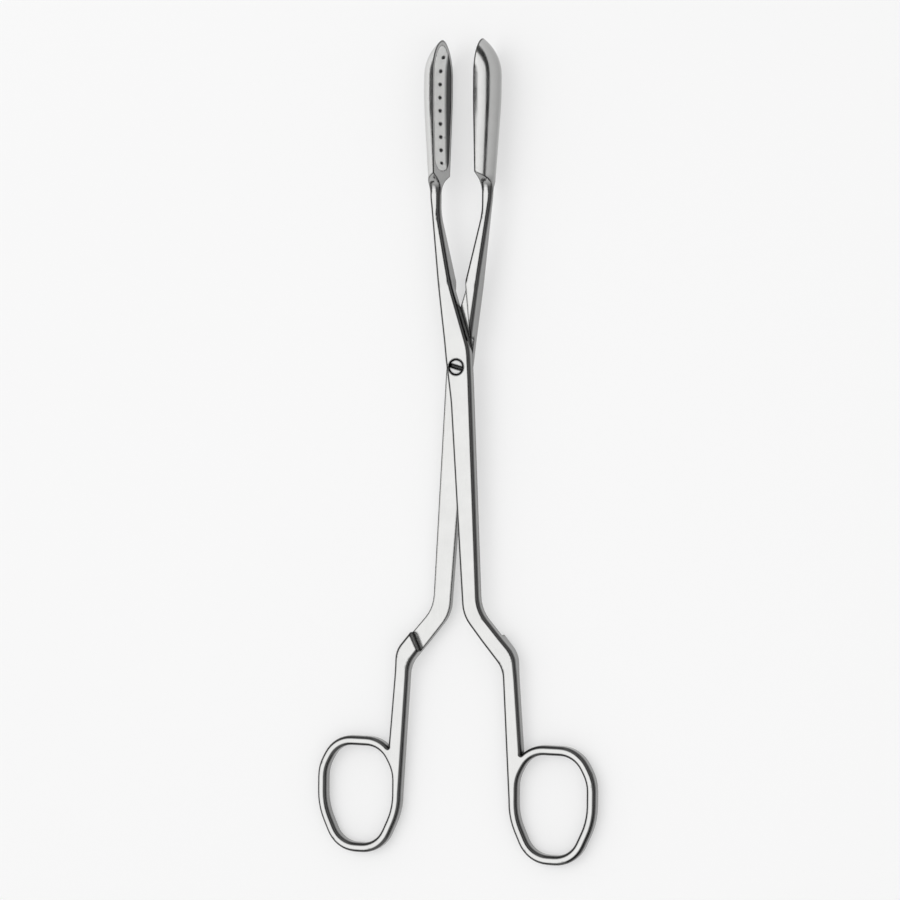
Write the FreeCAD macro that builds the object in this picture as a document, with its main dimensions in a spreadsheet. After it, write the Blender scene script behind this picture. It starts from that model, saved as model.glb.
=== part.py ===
import FreeCAD, Part
import math
import os
import re
import Sketcher
from FreeCAD import Placement, Rotation, Vector

# Placenta forceps: two forged steel arms in a half-lap joint, held by one slotted screw.
# The origin is on the screw's axis, in the middle of the joint's thickness. +Y runs to the jaws, +Z out of
# the slotted end of the screw, and the arms lie as drawn, part open. Sizes are in millimetres.
# Both arms are one forging. Its jaw is on the left, its handle on the right, and the rear arm is that forging
# turned half a turn about the long axis.

SIZES = (
    # Jaw
    ("tip_reach", 106.0, "screw to the tips of the jaws"),
    ("jaw_length", 43.8, "tip to the corners of the shoulders"),
    ("jaw_width", 17.5, "across the rims at the widest part"),
    ("jaw_depth", 5.8, "rim to the back of the spoon"),
    ("jaw_full", 20.0, "tip to where the spoon starts to taper towards the neck"),
    ("taper_round", 100.0, "radius of the back where that taper starts"),
    ("nose_lean", 52.0, "slope of the back at the tip, in degrees"),
    ("nose_share", 0.99, "radius of the nose, as a share of the largest that reaches its point"),
    ("jaw_wall", 1.3, "wall of the spoon"),
    ("hollow_round", 4.5, "radius of the hollow's end at the heel"),
    ("heel_wall", 1.4, "shoulders to the end of the hollow"),
    ("heel_width", 12.8, "across the shoulders"),
    ("flare_radius", 2.2, "half of the neck's width where the shoulders begin"),
    ("shoulder_lean", 63.0, "lean of the shoulders from the long axis, in degrees"),
    ("shoulder_round", 4.0, "radius between the shoulders and the rod"),
    ("neck_length", 7.2, "shoulders to the rod of the shank"),
    ("join_sink", 0.05, "neck and foot of the handle below the faces that they join"),
    ("rim_gap", 14.0, "between the two rims in the drawn pose"),
    ("stud_base", 0.7, "radius of a gripping stud where it leaves the floor"),
    ("stud_point", 0.2, "radius of the blunt point of a stud"),
    ("stud_height", 0.8, "stud above the floor of the spoon"),
    ("stud_sink", 0.3, "foot of a stud below that floor"),
    ("stud_sides", 6, "flat sides of a stud"),
    ("stud_rows", 9, "studs in an outer column"),
    ("stud_fan", 36.0, "turn of an outer column about the axis of the hollow, in degrees"),
    ("stud_first", 5.0, "first stud from the tip"),
    ("stud_last", 3.0, "last stud from the end of the hollow"),
    # Shank
    ("neck_width", 3.5, "rod of the shank behind the jaw"),
    ("neck_offset", 9.0, "centre of that rod from the middle line"),
    ("neck_bend", 5.5, "length of the rod from its bend to the neck"),
    ("neck_bend_round", 25.0, "radius of that bend"),
    ("edge_round", 1.4, "rounding of the long edges"),
    ("taper_start", 27.0, "screw to where the shank has the full thickness of the joint"),
    ("taper_ease", 60.0, "radius where the shank starts to get thinner"),
    # Joint
    ("joint_thickness", 6.9, "both laps together"),
    ("joint_left", 4.7, "screw to the left edge of the front lap"),
    ("joint_right", 4.9, "screw to the right edge of the front lap"),
    ("joint_waist", 2.2, "screw to the left edge where the long lap starts"),
    ("waist_drop", 11.0, "screw down to that place"),
    ("joint_swell", 0.6, "how far the edges come in above and below the screw"),
    ("swell_rise", 2.5, "screw up to where the left edge comes in"),
    ("right_rise", 6.0, "screw up to where the right edge comes in"),
    ("right_drop", 4.0, "screw down to where the right edge turns into the lap"),
    ("joint_ease", 20.0, "radius of the edges round the joint"),
    ("foot_ease", 6.7, "radius of the left edge where the shank begins"),
    ("lap_gap", 0.1, "running clearance between the laps"),
    ("shoulder_foot", 9.0, "screw to the lower end of the lap's upper shoulder"),
    ("shoulder_top", 26.5, "screw to the upper end of that shoulder"),
    ("foot_rise", 1.0, "left edge's bend up to the lower end of that shoulder"),
    ("foot_cheek", 0.15, "left edge of the arm to the lower end of that shoulder"),
    ("top_cheek", 2.9, "middle line to the upper end of the shoulder"),
    ("fork", 2.2, "middle line to the inner edge of the shank above the shoulder"),
    # Screw
    ("head_radius", 2.5, "head of the screw"),
    ("head_depth", 1.7, "depth of that head"),
    ("head_bevel", 0.3, "bevel round the head"),
    ("head_clearance", 0.1, "gap round the head"),
    ("neck_radius", 1.9, "plain neck that the front arm turns on"),
    ("thread_radius", 1.6, "stem in the rear arm"),
    ("turn_clearance", 0.03, "radial clearance of the turning fit"),
    ("thread_clearance", 0.02, "radial clearance of the stem in the rear arm"),
    ("slot_width", 1.1, "driver slot"),
    ("slot_depth", 0.9, "depth of that slot"),
    ("slot_turn", -16.0, "turn of the slot, in degrees"),
    ("screw_sink", 0.08, "ends of the screw below the faces of the arms"),
    # Long lap and crank
    ("lap_length", 80.0, "screw to the first bend of the crank"),
    ("lap_parting", 2.8, "middle line to the inner edge at that bend"),
    ("lap_width", 5.7, "arm at the crank"),
    ("crank_drop", 16.5, "first bend to second bend, along the instrument"),
    ("crank_offset", 13.4, "first bend to second bend, across the instrument"),
    ("crank_round", 12.0, "radius of the first bend"),
    ("knee_round", 8.4, "radius of the second bend"),
    ("knee_lift", 4.6, "outer edge's bend above the second bend"),
    ("step_place", 0.6, "how far down the crank the lap ends, from 0 to 1"),
    ("step_lean", 25.0, "lean of the step at the end of the lap, in degrees"),
    ("step_reach", 15.0, "half of the length of that step's cut"),
    # Handle and ring
    ("handle_width", 4.5, "bar of the handle"),
    ("handle_foot", 2.2, "bar of the handle where it ends in the bar of the ring"),
    ("handle_thickness", 4.6, "bar and ring, across the flat of the instrument"),
    ("handle_rise", 9.0, "second bend up to where the arm starts to get thinner"),
    ("handle_ease", 8.0, "radius where it starts to get thinner"),
    ("handle_fall", 3.0, "second bend down to where the handle has its own thickness"),
    ("ring_centre_x", 33.5, "middle line to the middle of the ring"),
    ("ring_centre_y", 139.6, "screw to the middle of the ring"),
    ("ring_width", 23.4, "finger hole across"),
    ("ring_length", 31.8, "finger hole along the instrument"),
    ("ring_bar", 3.1, "bar of the ring in its own plane"),
    ("brow_share", 0.62, "upper side of the finger hole, as a share of its width"),
    ("brow_place", 0.5, "middle of the hole to its upper bends, as a share of half its length"),
    ("foot_share", 0.53, "lower side of the finger hole, as a share of its width"),
    ("foot_place", 0.25, "middle of the hole to its lower bends, as a share of half its length"),
    ("end_share", 0.67, "radius at both ends of the hole, as a share of half its width"),
    ("side_share", 0.95, "radius of the upper bends, as a share of half its width"),
    ("hip_share", 1.7, "radius of the lower bends, as a share of half its width"),
)
NAMES = [name for name, number, meaning in SIZES]
FAR = 200.0         # longer than any cut needs to be
WHOLE = 0.9999      # a cut that leaves this share of a solid has missed it


def bound(formula):
    """The formula with each named size written as a cell of the sheet."""
    return re.sub(r"[a-z_]+", lambda word: "Sizes." + word[0] if word[0] in NAMES else word[0], formula)


def value(formula):
    """What a formula comes to with the sizes in the sheet."""
    result = sheet.evalExpression(bound(formula))
    return float(getattr(result, "Value", result))


def make_sheet():
    page = doc.addObject("Spreadsheet::Sheet", "Sizes")
    for row, (name, number, meaning) in enumerate(SIZES, 1):
        page.set("A%d" % row, name)
        page.set("B%d" % row, str(number))
        page.set("C%d" % row, meaning)
        page.setAlias("B%d" % row, name)
    doc.recompute()
    return page


def origin_plane(body, role):
    return [plane for plane in body.Origin.OriginFeatures if plane.Role == role][0]


def outline(body, name, plane, corners, lift=None):
    """A closed sketch of straight sides. Its corners are (across, up, radius), with None for a sharp one."""
    sketch = body.newObject("Sketcher::SketchObject", name)
    sketch.AttachmentSupport = [(origin_plane(body, plane), "")]
    sketch.MapMode = "FlatFace"
    if lift:
        sketch.setExpression("AttachmentOffset.Base.z", bound(lift))
    points = [Vector(value(across), value(up), 0) for across, up, radius in corners]
    count = len(points)
    starts, ends, arcs = [], [], []
    for index, point in enumerate(points):
        back = (points[index - 1] - point).normalize()
        ahead = (points[(index + 1) % count] - point).normalize()
        if corners[index][2] is None:
            ends.append(point)
            starts.append(point)
            arcs.append(None)
            continue
        radius = value(corners[index][2])
        half = back.getAngle(ahead) / 2
        ends.append(point + back * (radius / math.tan(half)))
        starts.append(point + ahead * (radius / math.tan(half)))
        centre = point + (back + ahead).normalize() * (radius / math.sin(half))
        left_turn = back.cross(ahead).z < 0
        first, last = (ends[-1], starts[-1]) if left_turn else (starts[-1], ends[-1])
        turns = [math.atan2(place.y - centre.y, place.x - centre.x) for place in (first, last)]
        circle = Part.Circle(centre, Vector(0, 0, 1), radius)
        arcs.append((Part.ArcOfCircle(circle, turns[0], turns[1]), left_turn))
    sides = [sketch.addGeometry(Part.LineSegment(starts[index], ends[(index + 1) % count]), False)
             for index in range(count)]
    for index, (across, up, radius) in enumerate(corners):
        corner = sketch.addGeometry(Part.Point(points[index]), True)
        place_x = sketch.addConstraint(Sketcher.Constraint("DistanceX", corner, 1, points[index].x))
        place_y = sketch.addConstraint(Sketcher.Constraint("DistanceY", corner, 1, points[index].y))
        before, after = sides[index - 1], sides[index]
        if radius is None:
            sketch.addConstraint(Sketcher.Constraint("Coincident", before, 2, corner, 1))
            sketch.addConstraint(Sketcher.Constraint("Coincident", after, 1, corner, 1))
        else:
            arc, left_turn = arcs[index]
            bend = sketch.addGeometry(arc, False)
            into, out = (1, 2) if left_turn else (2, 1)
            sketch.addConstraint(Sketcher.Constraint("Tangent", before, 2, bend, into))
            sketch.addConstraint(Sketcher.Constraint("Tangent", after, 1, bend, out))
            sketch.addConstraint(Sketcher.Constraint("PointOnObject", corner, 1, before))
            sketch.addConstraint(Sketcher.Constraint("PointOnObject", corner, 1, after))
            size = sketch.addConstraint(Sketcher.Constraint("Radius", bend, value(radius)))
            sketch.setExpression("Constraints[%d]" % size, bound(radius))
        sketch.setExpression("Constraints[%d]" % place_x, bound(across))
        sketch.setExpression("Constraints[%d]" % place_y, bound(up))
    return sketch


def pad(body, name, sketch, length, symmetric=True):
    feature = body.newObject("PartDesign::Pad", name)
    feature.Profile = sketch
    feature.SideType = "Symmetric" if symmetric else "One side"
    feature.setExpression("Length", bound(length))
    return feature


def pocket(body, name, sketch, length, symmetric=True):
    """A pocket that has to take something away: a pocket that points away from the solid cuts nothing."""
    doc.recompute()
    before = body.Shape.Volume
    feature = body.newObject("PartDesign::Pocket", name)
    feature.Profile = sketch
    feature.SideType = "Symmetric" if symmetric else "One side"
    feature.setExpression("Length", bound(length))
    doc.recompute()
    if body.Shape.Volume > before * WHOLE:
        raise RuntimeError(name + " cuts nothing")
    return feature


def primitive(kind, name, sizes, place=None):
    """A Part solid whose sizes, and place if given, are formulas of the sheet."""
    solid = doc.addObject(kind, name)
    for key, formula in sizes.items():
        solid.setExpression(key, bound(formula))
    for axis, formula in zip("xyz", place or ()):
        solid.setExpression("Placement.Base." + axis, bound(formula))
    return solid


def boolean(kind, name, base, tool):
    result = doc.addObject(kind, name)
    result.Base = base
    result.Tool = tool
    return result


def fuse(name, pieces):
    result = doc.addObject("Part::MultiFuse", name)
    result.Shapes = pieces
    result.Refine = True
    return result


# Lines that several pieces share
HEEL_Y = "(tip_reach - jaw_length)"
NECK_Y = "(tip_reach - jaw_length - neck_length)"
TAPER_Y = "(tip_reach - jaw_full)"
HOLLOW_HEEL_Y = "(tip_reach - jaw_length + heel_wall)"
RIM_X = "(-rim_gap / 2)"
CROWN_RADIUS = "((jaw_width * jaw_width / 4 + jaw_depth * jaw_depth) / (2 * jaw_depth))"
AXIS_RISE = "(%s - jaw_depth)" % CROWN_RADIUS
SPOON_AXIS_X = "(%s + %s)" % (RIM_X, AXIS_RISE)
NECK_SPOON_RADIUS = "(neck_offset + neck_width / 2 + %s)" % SPOON_AXIS_X
TAPER_SLOPE = "((%s - %s) / (%s - %s))" % (CROWN_RADIUS, NECK_SPOON_RADIUS, TAPER_Y, NECK_Y)
NOSE_Y = "(tip_reach - jaw_depth / tan(nose_lean))"
NOSE_ROUND = "(jaw_depth / (sin(nose_lean) * tan(nose_lean / 2)))"
APEX_Y = "(tip_reach + %s / tan(nose_lean))" % AXIS_RISE
SHOULDER_RADIUS = "sqrt(heel_width * heel_width / 4 + (neck_offset - rim_gap / 2) ^ 2)"
LAP_TOP_Y = "(shoulder_foot - foot_rise)"
SHANK_SLOPE = "((neck_offset + neck_width / 2 - joint_left) / (%s - %s))" % (NECK_Y, LAP_TOP_Y)
SHOULDER_FOOT_X = "(foot_cheek - joint_left - foot_rise * %s)" % SHANK_SLOPE
SHOULDER_SLOPE = "((-top_cheek - %s) / (shoulder_top - shoulder_foot))" % SHOULDER_FOOT_X
BEND_TWO_X = "(lap_parting + crank_offset)"
BEND_TWO_Y = "(-lap_length - crank_drop)"
CRANK_TURN = "atan(crank_offset / crank_drop)"
RING_LEFT = "(ring_centre_x - ring_width / 2 - ring_bar)"
STEP_X = "(lap_parting + crank_offset * step_place + lap_width / 2)"
STEP_Y = "(-lap_length - crank_drop * step_place)"


def bar_blank():
    """The arm without jaw and ring: its outline padded to full thickness and thinned towards both ends."""
    body = doc.addObject("PartDesign::Body", "Blank")
    left_edge = [
        ("-neck_offset - neck_width / 2", HEEL_Y + " - heel_wall", None),
        ("-neck_offset - neck_width / 2", NECK_Y, "neck_bend_round"),
        ("-joint_left", LAP_TOP_Y, "foot_ease"),
        ("-joint_left + joint_swell", "swell_rise", "joint_ease"),
        ("-joint_waist", "-waist_drop", "taper_ease"),
        ("lap_parting", "-lap_length", "crank_round"),
        (BEND_TWO_X, BEND_TWO_Y, "knee_round"),
        (RING_LEFT + " + join_sink", "-ring_centre_y", None),
    ]
    right_edge = [
        (RING_LEFT + " + handle_foot", "-ring_centre_y", None),
        (RING_LEFT + " + handle_width", "-ring_centre_y + ring_length / 2", "crank_round"),
        (BEND_TWO_X + " + handle_width", BEND_TWO_Y + " + knee_lift", "knee_round"),
        ("lap_parting + lap_width", "-lap_length + lap_width * tan(%s / 2)" % CRANK_TURN, "crank_round"),
        ("joint_right", "-right_drop", "joint_ease"),
        ("joint_right - joint_swell", "right_rise", "joint_ease"),
        ("-fork", "shoulder_top", "taper_ease"),
        ("-neck_offset + neck_width / 2", NECK_Y + " - neck_bend", "neck_bend_round"),
        ("-neck_offset + neck_width / 2", HEEL_Y + " - heel_wall", None),
    ]
    pad(body, "BlankPad", outline(body, "BlankPlan", "XY_Plane", left_edge + right_edge), "joint_thickness")
    above, below = HEEL_Y + " + heel_wall", "-ring_centre_y - ring_length"
    for name, side in (("Front", "1"), ("Rear", "-1")):
        half_neck = side + " * neck_width / 2"
        half_joint = side + " * joint_thickness / 2"
        half_handle = side + " * handle_thickness / 2"
        beyond = side + " * joint_thickness"
        thinning = outline(body, name + "Profile", "YZ_Plane", [
            (above, half_neck, None),
            (NECK_Y + " - neck_bend / 2", half_neck, "neck_bend_round"),
            ("taper_start", half_joint, "taper_ease"),
            (BEND_TWO_Y + " + handle_rise", half_joint, "handle_ease"),
            (BEND_TWO_Y + " - handle_fall", half_handle, "joint_ease"),
            (below, half_handle, None),
            (below, beyond, None),
            (above, beyond, None),
        ])
        pocket(body, name + "Thinning", thinning, str(FAR))
    return body


def finger_hole():
    """The egg-shaped finger hole, round at both ends and narrower at its foot."""
    body = doc.addObject("PartDesign::Body", "FingerHole")
    outer = "ring_centre_x %s ring_width / 2"
    half = [
        (outer + " * brow_share", "-ring_centre_y + ring_length / 2", "end_share * ring_width / 2"),
        (outer, "-ring_centre_y + brow_place * ring_length / 2", "side_share * ring_width / 2"),
        (outer, "-ring_centre_y - foot_place * ring_length / 2", "hip_share * ring_width / 2"),
        (outer + " * foot_share", "-ring_centre_y - ring_length / 2", "end_share * ring_width / 2"),
    ]
    right_side = [(across % "+", up, radius) for across, up, radius in half]
    left_side = [(across % "-", up, radius) for across, up, radius in reversed(half)]
    hole = outline(body, "HoleOutline", "XY_Plane", right_side + left_side)
    pad(body, "HolePad", hole, "2 * handle_thickness")
    return body, hole


def ring_block(hole):
    """The ring with its hole still filled: the hole's outline moved out by the width of the bar."""
    edge = doc.addObject("Part::Offset2D", "RingEdge")
    edge.Source = hole
    edge.Mode = "Pipe"
    edge.Fill = False
    edge.setExpression("Value", bound("ring_bar"))
    block = doc.addObject("Part::Extrusion", "RingBlock")
    block.Base = edge
    block.DirMode = "Custom"
    block.Dir = Vector(0, 0, 1)
    block.Solid = True
    block.Symmetric = True
    block.setExpression("LengthFwd", bound("handle_thickness"))
    return block


def side_kind(face, edge):
    """Whether a face is an upright side of the arm, its front or rear, or the end of the neck."""
    middle = edge.valueAt((edge.FirstParameter + edge.LastParameter) / 2)
    normal = face.normalAt(*face.Surface.parameter(middle))
    if face.BoundBox.YMin > value(NECK_Y):
        return "end"
    return "side" if abs(normal.z) < 0.001 else "flat"


def long_edges(shape):
    """The edges where an upright side of the arm meets its front or rear."""
    found = []
    for index, edge in enumerate(shape.Edges, 1):
        kinds = [side_kind(face, edge) for face in shape.ancestorsOfType(edge, Part.Face)]
        if sorted(kinds) == ["flat", "side"]:
            found.append(index)
    return found


def lap_recess():
    """What the lap takes away: the rear half of the arm from the upper shoulder to the step on the crank."""
    body = doc.addObject("PartDesign::Body", "LapRecess")
    reach_x, reach_y = "(step_reach * sin(step_lean))", "(step_reach * cos(step_lean))"
    left, above = SHOULDER_FOOT_X + " - joint_left", "shoulder_top + joint_left"
    region = outline(body, "LapPlan", "XY_Plane", [
        (left, "(shoulder_foot + shoulder_top) / 2", None),
        (SHOULDER_FOOT_X, "shoulder_foot", None),
        ("-top_cheek + joint_left * " + SHOULDER_SLOPE, above, None),
        (STEP_X + " + step_reach", above, None),
        ("%s + %s" % (STEP_X, reach_x), "%s + %s" % (STEP_Y, reach_y), None),
        ("%s - %s" % (STEP_X, reach_x), "%s - %s" % (STEP_Y, reach_y), None),
        (left, "%s - %s" % (STEP_Y, reach_y), None),
    ], lift="lap_gap / 2 - joint_thickness / 2")
    pad(body, "LapPad", region, "joint_thickness")
    return body


def revolve(name, axis_x, half_profile):
    """A solid turned about a line along the instrument. Its corners are (distance from it, along, radius)."""
    body = doc.addObject("PartDesign::Body", name)
    section = outline(body, name + "Section", "XY_Plane",
                      [("-(%s)" % distance, along, radius) for distance, along, radius in half_profile])
    section.setExpression("AttachmentOffset.Base.x", bound(axis_x))
    turned = body.newObject("PartDesign::Revolution", name + "Turned")
    turned.Profile = section
    turned.ReferenceAxis = (section, ["V_Axis"])
    turned.Angle = 360
    return body


def tapered(along, margin):
    """The distance from the spoon's axis to its tapered back, or to the floor for a margin of one wall."""
    return "%s - (%s - %s) * %s - %s" % (CROWN_RADIUS, TAPER_Y, along, TAPER_SLOPE, margin)


def nose(margin):
    """The end of a profile from the full width over the nose to the spoon's axis."""
    return [
        ("%s - %s" % (CROWN_RADIUS, margin), TAPER_Y, "taper_round"),
        ("%s - %s" % (CROWN_RADIUS, margin), "%s - %s * tan(nose_lean / 2)" % (NOSE_Y, margin),
         "nose_share * (%s - %s)" % (NOSE_ROUND, margin)),
        ("0", "%s - %s / sin(nose_lean)" % (APEX_Y, margin), None),
    ]


def spoon():
    """The outside of the jaw: a turned form behind the rim's plane, with shoulders that a flare cuts."""
    back = revolve("Back", SPOON_AXIS_X, [
        ("0", NECK_Y, None),
        (tapered(NECK_Y, "0"), NECK_Y, None),
    ] + nose("0"))
    flare_y = "(%s - (%s - flare_radius) / tan(shoulder_lean))" % (HEEL_Y, SHOULDER_RADIUS)
    flare = revolve("Flare", "-neck_offset", [
        ("0", NECK_Y, None),
        ("neck_width / 2 - join_sink", NECK_Y, None),
        ("flare_radius", flare_y, "shoulder_round"),
        ("jaw_width", flare_y + " + (jaw_width - flare_radius) / tan(shoulder_lean)", None),
        ("jaw_width", "tip_reach + jaw_width", None),
        ("0", "tip_reach + jaw_width", None),
    ])
    behind_rim = primitive("Part::Box", "BehindRim",
                           {"Length": "jaw_width", "Width": "2 * jaw_length", "Height": "2 * jaw_width"},
                           (RIM_X + " - jaw_width", NECK_Y + " - neck_bend", "-jaw_width"))
    common = doc.addObject("Part::MultiCommon", "Spoon")
    common.Shapes = [back, flare, behind_rim]
    return common


def spoon_hollow():
    """The inside of the spoon, one wall within its back, with a round end at the heel."""
    return revolve("Hollow", SPOON_AXIS_X, [
        ("0", HOLLOW_HEEL_Y, None),
        (tapered(HOLLOW_HEEL_Y, "jaw_wall"), HOLLOW_HEEL_Y, "hollow_round"),
    ] + nose("jaw_wall"))


def stud(foot, top, along):
    """A blunt pointed stud with flat sides."""
    axis = (top - foot).normalize()
    across = axis.cross(along).normalize()
    ahead = across.cross(axis)
    sides = round(value("stud_sides"))
    turns = [2 * math.pi * side / sides for side in range(sides)]
    rings = [[centre + (across * math.cos(turn) + ahead * math.sin(turn)) * value(radius) for turn in turns]
             for centre, radius in ((foot, "stud_base"), (top, "stud_point"))]
    edges = [rings[0], rings[1]]
    for side in range(sides):
        after = (side + 1) % sides
        edges.append([rings[0][side], rings[0][after], rings[1][after], rings[1][side]])
    faces = [Part.Face(Part.makePolygon(corners + corners[:1])) for corners in edges]
    return Part.makeSolid(Part.makeShell(faces))


def studs():
    """Three columns of blunt studs that stand square on the floor of the spoon, the middle one staggered."""
    first, last = value("tip_reach - stud_first"), value(HOLLOW_HEEL_Y + " + stud_last")
    rows = round(value("stud_rows"))
    pitch = (first - last) / (rows - 1)
    nose_radius = value(NOSE_ROUND + " - jaw_wall")
    nose_start = value("tip_reach - %s * sin(nose_lean)" % NOSE_ROUND)
    points = []
    for column in (-1, 0, 1):
        turn = math.radians(column * value("stud_fan"))
        outward = Vector(-math.cos(turn), 0, math.sin(turn))
        for row in range(rows if column else rows - 1):
            along = first - pitch * (row if column else row + 0.5)
            if along > nose_start:
                lean = math.asin((along - nose_start) / nose_radius)
                drop = nose_radius * (1 - math.cos(lean))
            else:
                lean = -math.atan(value(TAPER_SLOPE)) if along < value(TAPER_Y) else 0
                drop = max(0, value(TAPER_Y) - along) * value(TAPER_SLOPE)
            radius = value(CROWN_RADIUS + " - jaw_wall") - drop
            floor = Vector(value(SPOON_AXIS_X), along, 0) + outward * radius
            normal = -(outward * math.cos(lean) + Vector(0, 1, 0) * math.sin(lean))
            foot, top = floor - normal * value("stud_sink"), floor + normal * value("stud_height")
            points.append(stud(foot, top, Vector(0, 1, 0)))
    field = doc.addObject("Part::Feature", "Studs")
    field.Shape = Part.makeCompound(points)
    return field


def forging():
    """One arm without its bore."""
    hole, hole_outline = finger_hole()
    ringed = fuse("Ringed", [bar_blank(), ring_block(hole_outline)])
    holed = boolean("Part::Cut", "Holed", ringed, hole)
    doc.recompute()
    rounded = doc.addObject("Part::Fillet", "Rounded")
    rounded.Base = holed
    radius = value("edge_round")
    rounded.Edges = [(index, radius, radius) for index in long_edges(holed.Shape)]
    lapped = boolean("Part::Cut", "Lapped", rounded, lap_recess())
    jawed = fuse("Jawed", [lapped, spoon()])
    return fuse("Forging", [boolean("Part::Cut", "Spooned", jawed, spoon_hollow()), studs()])


def cylinder(name, radius, low, high):
    return primitive("Part::Cylinder", name, {"Radius": radius, "Height": "%s - (%s)" % (high, low)},
                     ("0", "0", low))


def front_arm(blank):
    """The forging with a bore for the screw's plain neck and a seat for its head."""
    bore = cylinder("NeckBore", "neck_radius + turn_clearance", "-joint_thickness", "joint_thickness")
    seat = cylinder("HeadSeat", "head_radius + head_clearance",
                    "joint_thickness / 2 - screw_sink - head_depth - turn_clearance", "joint_thickness")
    return boolean("Part::Cut", "FrontArm", blank, fuse("FrontBore", [bore, seat]))


def rear_arm(blank):
    """The same forging with the tapped bore, turned half a turn about the long axis."""
    bore = cylinder("TappedBore", "thread_radius + thread_clearance", "-joint_thickness", "joint_thickness")
    arm = boolean("Part::Cut", "RearArm", blank, bore)
    arm.Placement = Placement(Vector(0, 0, 0), Rotation(Vector(0, 1, 0), 180))
    return arm


def pivot_screw():
    """A cheese head with a driver slot, the plain neck in the front arm and the stem in the rear arm."""
    body = doc.addObject("PartDesign::Body", "PivotScrew")
    top, foot = "(joint_thickness / 2 - screw_sink)", "(-joint_thickness / 2 + screw_sink)"
    section = outline(body, "ScrewSection", "XZ_Plane", [
        ("0", foot, None),
        ("thread_radius", foot, None),
        ("thread_radius", "-lap_gap / 2", None),
        ("neck_radius", "-lap_gap / 2", None),
        ("neck_radius", top + " - head_depth", None),
        ("head_radius", top + " - head_depth", None),
        ("head_radius", top + " - head_bevel", None),
        ("head_radius - head_bevel", top, None),
        ("0", top, None),
    ])
    turned = body.newObject("PartDesign::Revolution", "ScrewTurned")
    turned.Profile = section
    turned.ReferenceAxis = (section, ["V_Axis"])
    turned.Angle = 360
    doc.recompute()
    slot = outline(body, "SlotSection", "XY_Plane", [
        ("-head_radius * 2", "-slot_width / 2", None),
        ("head_radius * 2", "-slot_width / 2", None),
        ("head_radius * 2", "slot_width / 2", None),
        ("-head_radius * 2", "slot_width / 2", None),
    ], lift=top)
    slot.setExpression("AttachmentOffset.Rotation.Angle", bound("slot_turn"))
    pocket(body, "Slot", slot, "slot_depth", symmetric=False)
    return body


doc = FreeCAD.newDocument("PlacentaForceps")
sheet = make_sheet()
blank = forging()
parts = {"front_arm": front_arm(blank), "rear_arm": rear_arm(blank), "pivot_screw": pivot_screw()}
for node, part in parts.items():
    part.Label = node
doc.recompute()
for item in doc.Objects:
    if "Invalid" in item.State or "Error" in item.State:
        raise RuntimeError("%s failed: %s" % (item.Label, item.State))
for node, part in parts.items():
    if part.Shape.isNull() or not part.Shape.isValid() or len(part.Shape.Solids) != 1:
        raise RuntimeError(node + " isn't one valid solid")
os.makedirs("parts", exist_ok=True)
for node, part in parts.items():
    part.Shape.exportStep("parts/%s.step" % node)
    box = part.Shape.BoundBox
    print("%s: %.1f mm3, x %.2f to %.2f, y %.2f to %.2f, z %.2f to %.2f" % (
        node, part.Shape.Volume, box.XMin, box.XMax, box.YMin, box.YMax, box.ZMin, box.ZMax))
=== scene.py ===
import math

import bmesh
import bpy
from mathutils import Matrix, Vector


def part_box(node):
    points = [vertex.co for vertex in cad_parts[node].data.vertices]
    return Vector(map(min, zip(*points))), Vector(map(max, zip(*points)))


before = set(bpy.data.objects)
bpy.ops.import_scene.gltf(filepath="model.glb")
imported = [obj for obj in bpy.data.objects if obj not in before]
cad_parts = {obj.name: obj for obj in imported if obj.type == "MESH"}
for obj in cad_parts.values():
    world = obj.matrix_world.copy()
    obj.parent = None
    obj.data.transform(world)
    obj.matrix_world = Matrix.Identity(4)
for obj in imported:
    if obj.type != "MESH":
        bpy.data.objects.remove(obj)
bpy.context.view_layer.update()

MM = 0.001

# The camera of the drawing: in front of the instrument and turned to its right-hand side.
SIDE_TURN = math.radians(22)
CAMERA_DISTANCE = 0.9
CAMERA_NEAR = 0.01
ROLL = math.radians(0.6)
SENSOR = 36
LENS = 111.4
# The screw stands right of and above the middle of the picture by this much.
SCREW_RIGHT = 3.2 * MM
SCREW_UP = 26.7 * MM

# Colours and roughnesses of the steel of the arms and of the screw, and how strongly the tool's marks show.
ARM_COLOUR = (0.85, 0.85, 0.84)
ARM_ROUGHNESS = 0.16
ARM_MARKS = 0.3
SCREW_COLOUR = (0.76, 0.76, 0.76)
SCREW_ROUGHNESS = 0.2
SCREW_MARKS = 0.4
# Scales of the noises: polishing lines, which are long along the arms, the lathe's rings, grit of the
# abrasive, clouds in the gloss, and marks of handling.
POLISH_LINES = (9000, 260, 9000)
LATHE_RINGS = 12000.0
GRIT = 14000.0
CLOUDS = 160.0
HANDLING = 900.0
# A noise is at its middle on average, and takes effect between a low and a high value.
NOISE_LOW = 0.3
NOISE_MIDDLE = 0.5
NOISE_HIGH = 0.7
# The darkest tint as a share of the colour, and the share of the clouds in it. The rest is the tool's marks.
DARKEST_TINT = 0.9
CLOUDS_IN_TINT = 0.6
# How far the clouds change the roughness, and what the scuffs of handling add to it.
GLOSS_LOW = 0.82
GLOSS_HIGH = 1.2
SCUFFS_START = 0.55
SCUFFS_FULL = 0.75
SCUFF_ROUGHNESS = 0.06
# The height of all marks, and the share of the tool's marks in it. The rest is grit.
MARK_HEIGHT = 0.01 * MM
LINES_IN_MARKS = 0.7

# Painted shade darkens the steel round narrow gaps this far. Each pair says how open to the sky a place is
# and what is
# left of its colour there: on the arms, and in the screw's slot.
GAP_REACH = 1.2 * MM
GAP_SAMPLES = 12
ARM_GAP_SHADE = [(0.45, 0.04), (0.85, 1.0)]
SLOT_GAP_SHADE = [(0.62, 0.03), (0.92, 1.0)]
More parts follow.
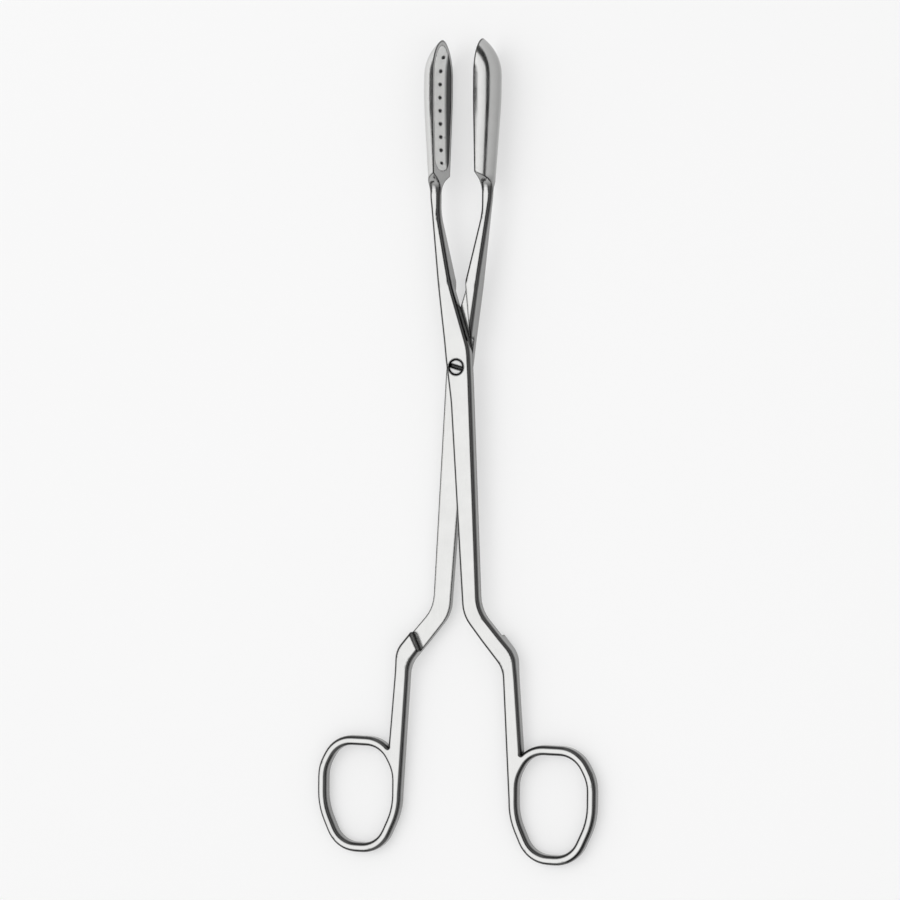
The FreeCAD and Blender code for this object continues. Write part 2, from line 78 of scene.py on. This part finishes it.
# The width of the broken edges, and the reach of the painted shade that draws a dark line along sharp edges
# of the bars and of the jaws.
EDGE_BREAK = 0.45 * MM
EDGE_BREAK_SAMPLES = 6
BAR_EDGE_LINE = 1.1 * MM
JAW_EDGE_LINE = 0.9 * MM
EDGE_LINE_SAMPLES = 10
# What is left of the colour in that line, by the cosine of the edge's lean.
EDGE_SHADE = [(0.92, 0.04), (0.99, 1.0)]
# Faces that stand on their sides are darkened with painted shade. What is left of their colour goes by the
# upward share of their normal: on the jaws, and on the bars with their rounded edges.
JAW_SHADE = [(0.1, 0.45), (0.5, 0.6), (0.85, 1.0)]
BAR_SHADE = [(0.05, 0.38), (0.25, 0.12), (0.9, 0.09), (0.985, 1.0)]
BARS_END_Y = 58 * MM
JAWS_START_Y = 62 * MM

# The hollows of the jaws: turned forms about lines beside the middle, tapered to the heel and round at both
# ends. They have finely blasted floors, and their walls and studs are darkened with painted shade.
RIM_X = 6.95 * MM
HOLLOW_AXIS = 3.3 * MM
HOLLOW_RADIUS = 8.2 * MM
HOLLOW_TAPER_Y = 86 * MM
HOLLOW_TAPER = 0.066
HOLLOW_NOSE_Y = 94.1 * MM
HOLLOW_NOSE_ROUND = 13.8 * MM
HOLLOW_HEEL_Y = 68.1 * MM
HOLLOW_HEEL_ROUND = 4.5 * MM
HOLLOW_END_Y = HOLLOW_HEEL_Y - HOLLOW_HEEL_ROUND
# The hollow's finish reaches this far below its floor, and a stud starts and is whole at these heights.
FLOOR_DEPTH = 0.12 * MM
STUD_STARTS = 0.06 * MM
STUD_WHOLE = 0.18 * MM
# Blasting adds to the roughness of the steel and makes it part matt.
BLASTED = (0.93, 0.93, 0.92)
BLASTED_ROUGHNESS = 0.45
BLASTED_MATT = 0.7
# Painted shade on the studs.
STUD_PAINTED_SHADE = (0.12, 0.12, 0.12)
# The floor turns into the walls between these sines of the angle round the hollow's axis.
WALL_STARTS = 0.72
WALL_FULL = 0.8
# Painted shade on the walls of the hollows.
WALL_PAINTED_SHADE = (0.08, 0.08, 0.08)

# The table, and the parts of the instrument that rest on it.
JAWS_FROM, JAWS_TO = 50 * MM, 200 * MM
RINGS_FROM, RINGS_TO = -200 * MM, -110 * MM
TABLE_HALF = 4.0
TABLE_CLEAR = 0.02 * MM
TABLE_CLOUDS = 3.0
TABLE_SHADES = [(NOISE_LOW, 0.86), (NOISE_HIGH, 0.88)]
TABLE_ROUGHNESS = 0.9
TABLE_GLOW = 0.45

# Dark cloths: the name, distance, elevations, azimuths, and the shades of the lower and upper edge of each.
CLOTHS = (
    ("right_near", 0.24, (-2, 13), (-80, 80), (0.02, 0.02)),
    ("right_by_jaws", 1.6, (48, 72), (-6, 80), (0.02, 0.2)),
    ("left_low", 1.6, (2, 24), (100, 260), (0.02, 0.15)),
)
CLOTH_COLUMNS = 24
CLOTH_ROWS = 12
CLOTH_WEAVE = 40.0
CLOTH_ROUGHNESS = 0.95

# Lamps: the name, place, size and power of each. The world lights more weakly than it shows.
LAMPS = (
    ("key", (-0.5, 0.25, 1.3), 1.2, 6.0),
    ("fill", (0.9, -0.3, 1.2), 0.9, 2.5),
)
WORLD_LIGHTS = 0.72
WORLD_SHOWS = 1.0


def make_camera():
    back = Vector((math.sin(SIDE_TURN), 0, math.cos(SIDE_TURN)))
    up = Vector((0, 1, 0))
    turn = Matrix((up.cross(back), up, back)).transposed() @ Matrix.Rotation(ROLL, 3, "Z")
    aim = -turn.col[0] * SCREW_RIGHT - turn.col[1] * SCREW_UP
    data = bpy.data.cameras.new("camera")
    data.sensor_width = SENSOR
    data.lens = LENS
    data.clip_start = CAMERA_NEAR
    camera = bpy.data.objects.new("camera", data)
    bpy.context.scene.collection.objects.link(camera)
    camera.matrix_world = Matrix.Translation(aim + back * CAMERA_DISTANCE) @ turn.to_4x4()
    bpy.context.scene.camera = camera


class Nodes:
    """A short way to write the node tree of a material or a world."""

    def __init__(self, owner):
        owner.use_nodes = True
        self.tree = owner.node_tree
        self.tree.nodes.clear()

    def add(self, kind, settings=(), **inputs):
        """Adds a node. An input is given by its name, or by its number after an i."""
        node = self.tree.nodes.new(kind)
        for name, setting in dict(settings).items():
            setattr(node, name, setting)
        for name, value in inputs.items():
            socket = node.inputs[int(name[1:]) if name[1:].isdigit() else name.replace("_", " ")]
            if isinstance(value, bpy.types.NodeSocket):
                self.tree.links.new(value, socket)
            else:
                socket.default_value = value
        return node

    def math(self, operation, first, second=0.0):
        return self.add("ShaderNodeMath", {"operation": operation}, i0=first, i1=second).outputs[0]

    def between(self, value, low, high, at_low=0.0, at_high=1.0):
        """Goes from one result at a low value to another at a high value, and stays there beyond them."""
        return self.add("ShaderNodeMapRange", Value=value, From_Min=low, From_Max=high,
                        To_Min=at_low, To_Max=at_high).outputs[0]

    def ramp(self, value, stops):
        node = self.add("ShaderNodeValToRGB", i0=value)
        ramp = node.color_ramp
        while len(ramp.elements) < len(stops):
            ramp.elements.new(0.5)
        for element, (place, colour) in zip(ramp.elements, stops):
            element.position = place
            element.color = (*colour, 1) if isinstance(colour, tuple) else (colour, colour, colour, 1)
        return node.outputs[0]

    def noise(self, place, scale, detail=2.0, roughness=0.5):
        return self.add("ShaderNodeTexNoise", Vector=place, Scale=scale, Detail=detail,
                        Roughness=roughness).outputs[0]

    def object_place(self):
        return self.add("ShaderNodeTexCoord").outputs["Object"]

    def split(self, vector):
        return self.add("ShaderNodeSeparateXYZ", Vector=vector).outputs

    def multiply(self, colour, other):
        return self.add("ShaderNodeMix", {"data_type": "RGBA", "blend_type": "MULTIPLY"}, Factor=1.0,
                        i6=colour, i7=other).outputs[2]

    def mix(self, factor, colour, other):
        return self.add("ShaderNodeMix", {"data_type": "RGBA"}, Factor=factor,
                        i6=colour, i7=other).outputs[2]

    def matt(self, colour, roughness):
        return self.add("ShaderNodeBsdfPrincipled", Base_Color=colour, Roughness=roughness).outputs[0]

    def surface(self, shader):
        self.add("ShaderNodeOutputMaterial", Surface=shader)


def seen(nodes):
    """1 for a ray that shows a surface: from the camera, or in a reflection or through glass."""
    path = nodes.add("ShaderNodeLightPath")
    either = nodes.math("MAXIMUM", path.outputs["Is Camera Ray"], path.outputs["Is Glossy Ray"])
    return nodes.math("MAXIMUM", either, path.outputs["Is Transmission Ray"])


def grain(nodes, place):
    """The lengthwise lines that polishing leaves on the arms."""
    stretched = nodes.add("ShaderNodeMapping", Vector=place, Scale=POLISH_LINES).outputs[0]
    return nodes.noise(stretched, 1.0, detail=3.0)


def rings(nodes, place):
    """The fine rings that the lathe leaves round the screw's axis."""
    flat = nodes.add("ShaderNodeVectorMath", {"operation": "MULTIPLY"}, i0=place, i1=(1, 1, 0)).outputs[0]
    radius = nodes.add("ShaderNodeVectorMath", {"operation": "LENGTH"}, i0=flat).outputs["Value"]
    return nodes.add("ShaderNodeTexNoise", {"noise_dimensions": "1D"}, Scale=1.0, Detail=2.0,
                     W=nodes.math("MULTIPLY", radius, LATHE_RINGS)).outputs[0]


def fall(nodes, run, radius):
    """How far a circle has fallen away after a run along its tangent, and the cosine of its slope there."""
    run = nodes.math("MINIMUM", nodes.math("MAXIMUM", run, 0.0), radius)
    left = nodes.math("SQRT", nodes.math("SUBTRACT", radius * radius, nodes.math("MULTIPLY", run, run)))
    return nodes.math("SUBTRACT", radius, left), nodes.math("DIVIDE", left, radius)


def above_floor(nodes, x, y, z):
    """The height of a place above the floor of its jaw's hollow, and the sine of its angle round the axis."""
    across = nodes.math("SUBTRACT", nodes.math("ABSOLUTE", x), HOLLOW_AXIS)
    radius = nodes.math("SQRT", nodes.math("ADD", nodes.math("MULTIPLY", across, across),
                                           nodes.math("MULTIPLY", z, z)))
    to_taper = nodes.math("SUBTRACT", HOLLOW_TAPER_Y, nodes.math("MAXIMUM", y, HOLLOW_HEEL_Y))
    taper = nodes.math("MULTIPLY", nodes.math("MAXIMUM", to_taper, 0.0), HOLLOW_TAPER)
    nose, nose_slope = fall(nodes, nodes.math("SUBTRACT", y, HOLLOW_NOSE_Y), HOLLOW_NOSE_ROUND)
    heel, heel_slope = fall(nodes, nodes.math("SUBTRACT", HOLLOW_HEEL_Y, y), HOLLOW_HEEL_ROUND)
    floor = nodes.math("SUBTRACT", HOLLOW_RADIUS, nodes.math("ADD", taper, nodes.math("ADD", nose, heel)))
    slope = nodes.math("MULTIPLY", nose_slope, heel_slope)
    height = nodes.math("MULTIPLY", nodes.math("SUBTRACT", floor, radius), slope)
    return height, nodes.math("DIVIDE", nodes.math("ABSOLUTE", z), radius)


def hollow_masks(nodes, place):
    """1 in the blasted hollows of the jaws, 1 on their walls, and 1 on the studs that stand in them."""
    x, y, z = nodes.split(place)
    height, sine = above_floor(nodes, x, y, z)
    behind_rim = nodes.math("GREATER_THAN", nodes.math("ABSOLUTE", x), RIM_X)
    in_jaw = nodes.math("MULTIPLY", behind_rim, nodes.math("GREATER_THAN", y, HOLLOW_END_Y))
    hollow = nodes.math("MULTIPLY", in_jaw, nodes.math("GREATER_THAN", height, -FLOOR_DEPTH))
    wall = nodes.math("MULTIPLY", hollow, nodes.between(sine, WALL_STARTS, WALL_FULL))
    stud = nodes.math("MULTIPLY", in_jaw, nodes.between(height, STUD_STARTS, STUD_WHOLE))
    return hollow, wall, stud


def shape_shades(nodes, place):
    """Painted shade: what is left of the colour on faces that stand on their sides, and what along sharp
    edges.
    """
    normal = nodes.add("ShaderNodeNewGeometry").outputs["Normal"]
    upward = nodes.math("ABSOLUTE", nodes.split(normal)["Z"])
    on_jaw = nodes.between(nodes.split(place)["Y"], BARS_END_Y, JAWS_START_Y)
    sides = nodes.mix(on_jaw, nodes.ramp(upward, BAR_SHADE), nodes.ramp(upward, JAW_SHADE))
    reach = nodes.between(on_jaw, 0.0, 1.0, BAR_EDGE_LINE, JAW_EDGE_LINE)
    rounded = nodes.add("ShaderNodeBevel", {"samples": EDGE_LINE_SAMPLES}, Radius=reach).outputs[0]
    lean = nodes.add("ShaderNodeVectorMath", {"operation": "DOT_PRODUCT"}, i0=rounded,
                     i1=normal).outputs["Value"]
    return sides, nodes.ramp(lean, EDGE_SHADE)


def steel(name, colour, roughness, marks, depth, gap_shading, jaws=False):
    """Polished stainless steel: the tool's marks, cloudy gloss and faint scuffs, with painted shade in narrow
    gaps, on faces that stand on their sides and along sharp edges.
    """
    material = bpy.data.materials.new(name)
    nodes = Nodes(material)
    place = nodes.object_place()
    lines = marks(nodes, place)
    grit = nodes.noise(place, GRIT)
    clouds = nodes.noise(place, CLOUDS, detail=4.0)
    handling = nodes.noise(place, HANDLING, detail=5.0, roughness=0.7)

    dark = tuple(DARKEST_TINT * part for part in colour)
    cloudy = nodes.math("ADD", nodes.math("MULTIPLY", clouds, CLOUDS_IN_TINT),
                        nodes.math("MULTIPLY", lines, 1 - CLOUDS_IN_TINT))
    base = nodes.ramp(cloudy, [(NOISE_LOW, dark), (NOISE_HIGH, colour)])
    # Painted shade round narrow gaps, by how open to the sky each place is.
    open_sky = nodes.add("ShaderNodeAmbientOcclusion", {"samples": GAP_SAMPLES}, Distance=GAP_REACH)
    base = nodes.multiply(base, nodes.ramp(open_sky.outputs["AO"], gap_shading))
    # Painted shade on faces that stand on their sides, and a painted dark line along sharp edges.
    sides, edges = shape_shades(nodes, place)
    base = nodes.multiply(base, sides)

    gloss = nodes.between(clouds, NOISE_LOW, NOISE_HIGH, roughness * GLOSS_LOW, roughness * GLOSS_HIGH)
    scuffs = nodes.between(handling, SCUFFS_START, SCUFFS_FULL, 0.0, SCUFF_ROUGHNESS)
    metal = 1.0
    if jaws:
        hollow, wall, stud = hollow_masks(nodes, place)
        # The blasted floors of the hollows, and painted shade on their walls and studs.
        for mask, finish_and_painted_shade in ((hollow, BLASTED), (wall, WALL_PAINTED_SHADE), (stud, STUD_PAINTED_SHADE)):
            base = nodes.mix(mask, base, (*finish_and_painted_shade, 1))
        gloss = nodes.math("ADD", gloss, nodes.math("MULTIPLY", hollow, BLASTED_ROUGHNESS))
        metal = nodes.math("SUBTRACT", 1.0, nodes.math("MULTIPLY", hollow, BLASTED_MATT))
    # Painted shade along sharp edges.
    base = nodes.multiply(base, edges)

    height = nodes.math("ADD", nodes.math("MULTIPLY", lines, LINES_IN_MARKS),
                        nodes.math("MULTIPLY", grit, 1 - LINES_IN_MARKS))
    edge = nodes.add("ShaderNodeBevel", {"samples": EDGE_BREAK_SAMPLES}, Radius=EDGE_BREAK).outputs[0]
    bump = nodes.add("ShaderNodeBump", Strength=depth, Distance=MARK_HEIGHT, Height=height, Normal=edge)
    nodes.surface(nodes.add("ShaderNodeBsdfPrincipled", Base_Color=base, Metallic=metal,
                            Roughness=nodes.math("ADD", gloss, scuffs), Normal=bump.outputs[0]).outputs[0])
    return material


def paint(node, material):
    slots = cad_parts[node].material_slots
    if not slots:
        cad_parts[node].data.materials.append(material)
    for slot in slots:
        slot.material = material


def make_finishes():
    """Forged steel on both arms, and turned steel on the screw."""
    forged = steel("forged_steel", ARM_COLOUR, ARM_ROUGHNESS, grain, ARM_MARKS, ARM_GAP_SHADE, jaws=True)
    paint("front_arm", forged)
    paint("rear_arm", forged)
    turned = steel("turned_steel", SCREW_COLOUR, SCREW_ROUGHNESS, rings, SCREW_MARKS, SLOT_GAP_SHADE)
    paint("pivot_screw", turned)


def lowest(near, far):
    """The lowest vertex of the arms between two places along the instrument, as (y, z)."""
    found = [vertex.co for name in ("front_arm", "rear_arm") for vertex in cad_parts[name].data.vertices
             if near <= vertex.co.y <= far]
    point = min(found, key=lambda place: place.z)
    return point.y, point.z


def add_object(name, mesh):
    """A new object with the shape of this mesh, which is freed."""
    data = bpy.data.meshes.new(name)
    mesh.to_mesh(data)
    mesh.free()
    added = bpy.data.objects.new(name, data)
    bpy.context.scene.collection.objects.link(added)
    return added


def table_finish():
    """A pale surface that shows as nearly white and keeps the shadow."""
    material = bpy.data.materials.new("floor_white")
    nodes = Nodes(material)
    cloud = nodes.noise(nodes.object_place(), TABLE_CLOUDS)
    matt = nodes.matt(nodes.ramp(cloud, TABLE_SHADES), TABLE_ROUGHNESS)
    white = nodes.add("ShaderNodeEmission", Color=(1, 1, 1, 1), Strength=1.0).outputs[0]
    glow = nodes.math("MULTIPLY", seen(nodes), TABLE_GLOW)
    nodes.surface(nodes.add("ShaderNodeMixShader", Fac=glow, i1=matt, i2=white).outputs[0])
    return material


def make_floor():
    """A table that the jaws' backs and the finger rings rest on."""
    jaw_y, jaw_z = lowest(JAWS_FROM, JAWS_TO)
    ring_z = lowest(RINGS_FROM, RINGS_TO)[1]
    ring_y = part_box("rear_arm")[0].y
    slope = (jaw_z - ring_z) / (jaw_y - ring_y)
    mesh = bmesh.new()
    bmesh.ops.create_grid(mesh, x_segments=4, y_segments=4, size=TABLE_HALF)
    floor = add_object("floor", mesh)
    floor.location = (0, jaw_y, jaw_z - TABLE_CLEAR)
    floor.rotation_euler = (math.atan(slope), 0, 0)
    floor.data.materials.append(table_finish())


def angles(ends, count):
    """Evenly spaced angles from one end to the other, in radians."""
    first, last = ends
    return [math.radians(first + (last - first) * step / count) for step in range(count + 1)]


def cloth_finish(name, low, high, shades):
    """Dark woven cloth that goes from one shade to another between two heights."""
    material = bpy.data.materials.new(name)
    nodes = Nodes(material)
    place = nodes.object_place()
    tone = nodes.between(nodes.split(place)["Z"], low, high, *shades)
    weave = nodes.math("ADD", nodes.noise(place, CLOTH_WEAVE), 1 - NOISE_MIDDLE)
    nodes.surface(nodes.matt(nodes.math("MULTIPLY", tone, weave), CLOTH_ROUGHNESS))
    return material


def cloth(name, distance, elevations, azimuths, shades):
    """A curved cloth, which only reflections see. Angles are in degrees, with azimuth 0 on the right."""
    lifts = angles(elevations, CLOTH_ROWS)
    turns = angles(azimuths, CLOTH_COLUMNS)
    mesh = bmesh.new()
    grid = [[mesh.verts.new(Vector((math.cos(lift) * math.cos(turn), math.cos(lift) * math.sin(turn),
                                    math.sin(lift))) * distance) for turn in turns] for lift in lifts]
    for lower, upper in zip(grid, grid[1:]):
        for column in range(CLOTH_COLUMNS):
            mesh.faces.new((lower[column], lower[column + 1], upper[column + 1], upper[column]))
    patch = add_object(name, mesh)
    low, high = (distance * math.sin(lift) for lift in (lifts[0], lifts[-1]))
    patch.data.materials.append(cloth_finish(name, low, high, shades))
    patch.visible_camera = False
    patch.visible_diffuse = False
    patch.visible_shadow = False
    patch.visible_transmission = False


def make_cloths():
    """Dark cloths round a bright top, which draw the edges of the steel."""
    for values in CLOTHS:
        cloth(*values)


def make_lamps():
    """Two soft lamps, which reflections don't show."""
    for name, place, size, power in LAMPS:
        data = bpy.data.lights.new(name, "AREA")
        data.shape = "SQUARE"
        data.size = size
        data.energy = power
        light = bpy.data.objects.new(name, data)
        bpy.context.scene.collection.objects.link(light)
        light.location = place
        light.rotation_euler = (-Vector(place)).to_track_quat("-Z", "Y").to_euler()
        light.visible_glossy = False


def make_world():
    """A world that shows as white."""
    world = bpy.data.worlds.new("studio")
    nodes = Nodes(world)
    strength = nodes.between(seen(nodes), 0.0, 1.0, WORLD_LIGHTS, WORLD_SHOWS)
    background = nodes.add("ShaderNodeBackground", Color=(1, 1, 1, 1), Strength=strength)
    nodes.add("ShaderNodeOutputWorld", Surface=background.outputs[0])
    bpy.context.scene.world = world


make_camera()
make_finishes()
make_floor()
make_cloths()
make_lamps()
make_world()
bpy.context.scene.view_settings.view_transform = "Standard"
